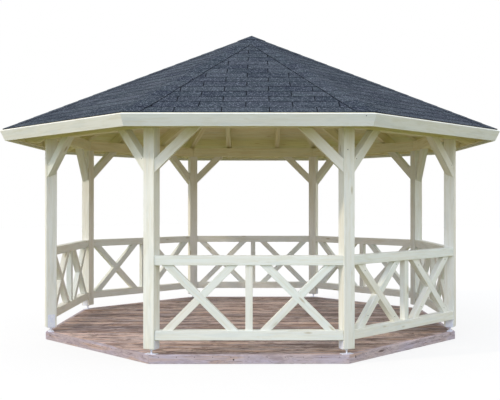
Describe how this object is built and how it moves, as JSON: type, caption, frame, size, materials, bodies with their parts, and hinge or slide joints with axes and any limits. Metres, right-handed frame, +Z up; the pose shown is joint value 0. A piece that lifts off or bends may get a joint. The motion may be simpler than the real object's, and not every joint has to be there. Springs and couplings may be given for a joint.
{
  "type": "garden gazebo",
  "caption": "Octagonal timber garden gazebo with a pyramid shingle roof, cross-braced railings, open entrance bay, low deck and adjustable steel post feet.",
  "frame": {"origin": "centre of the underside of the deck, on the ground", "axes": "+Z up; -Y out through the open entrance bay; +X to the right as you face the entrance from outside"},
  "size_m": [5.9884, 5.9884, 3.9368],
  "materials": {
    "painted_timber": "translucent cream-white glaze over planed softwood, grain and small knots showing",
    "deck_timber": "brown-stained planed decking with paler weathered edges",
    "roof_shingle": "mineral-granule bitumen shingle, slate blue-grey, matt",
    "galvanised_steel": "hot-dip galvanised, dull"
  },
  "bodies": {
    "root": {"apex_cap": "roof_shingle", "deck_floor": "deck_timber", "deck_joists": "deck_timber", "deck_rim_corner_sides": "deck_timber", "deck_rim_square_sides": "deck_timber", "eave_boards_corner_sides": "painted_timber", "eave_boards_square_sides": "painted_timber", "fascia_corner_sides": "painted_timber", "fascia_square_sides": "painted_timber", "hip_caps": "roof_shingle", "hip_rafters": "painted_timber", "jack_rafters": "painted_timber", "knee_braces": "painted_timber", "post_back_left": "painted_timber", "post_back_right": "painted_timber", "post_feet": "galvanised_steel", "post_front_left": "painted_timber", "post_front_right": "painted_timber", "post_left_back": "painted_timber", "post_left_front": "painted_timber", "post_right_back": "painted_timber", "post_right_front": "painted_timber", "rafter_hub": "painted_timber", "railing_back": "painted_timber", "railing_back_left": "painted_timber", "railing_back_right": "painted_timber", "railing_front_left": "painted_timber", "railing_front_right": "painted_timber", "railing_left": "painted_timber", "railing_right": "painted_timber", "ring_beam_back": "painted_timber", "ring_beam_back_left": "painted_timber", "ring_beam_back_right": "painted_timber", "ring_beam_front": "painted_timber", "ring_beam_front_left": "painted_timber", "ring_beam_front_right": "painted_timber", "ring_beam_left": "painted_timber", "ring_beam_right": "painted_timber", "roof_boards_corner_sides": "painted_timber", "roof_boards_square_sides": "painted_timber", "shingles_corner_sides": "roof_shingle", "shingles_square_sides": "roof_shingle"}
  },
  "joints": []
}
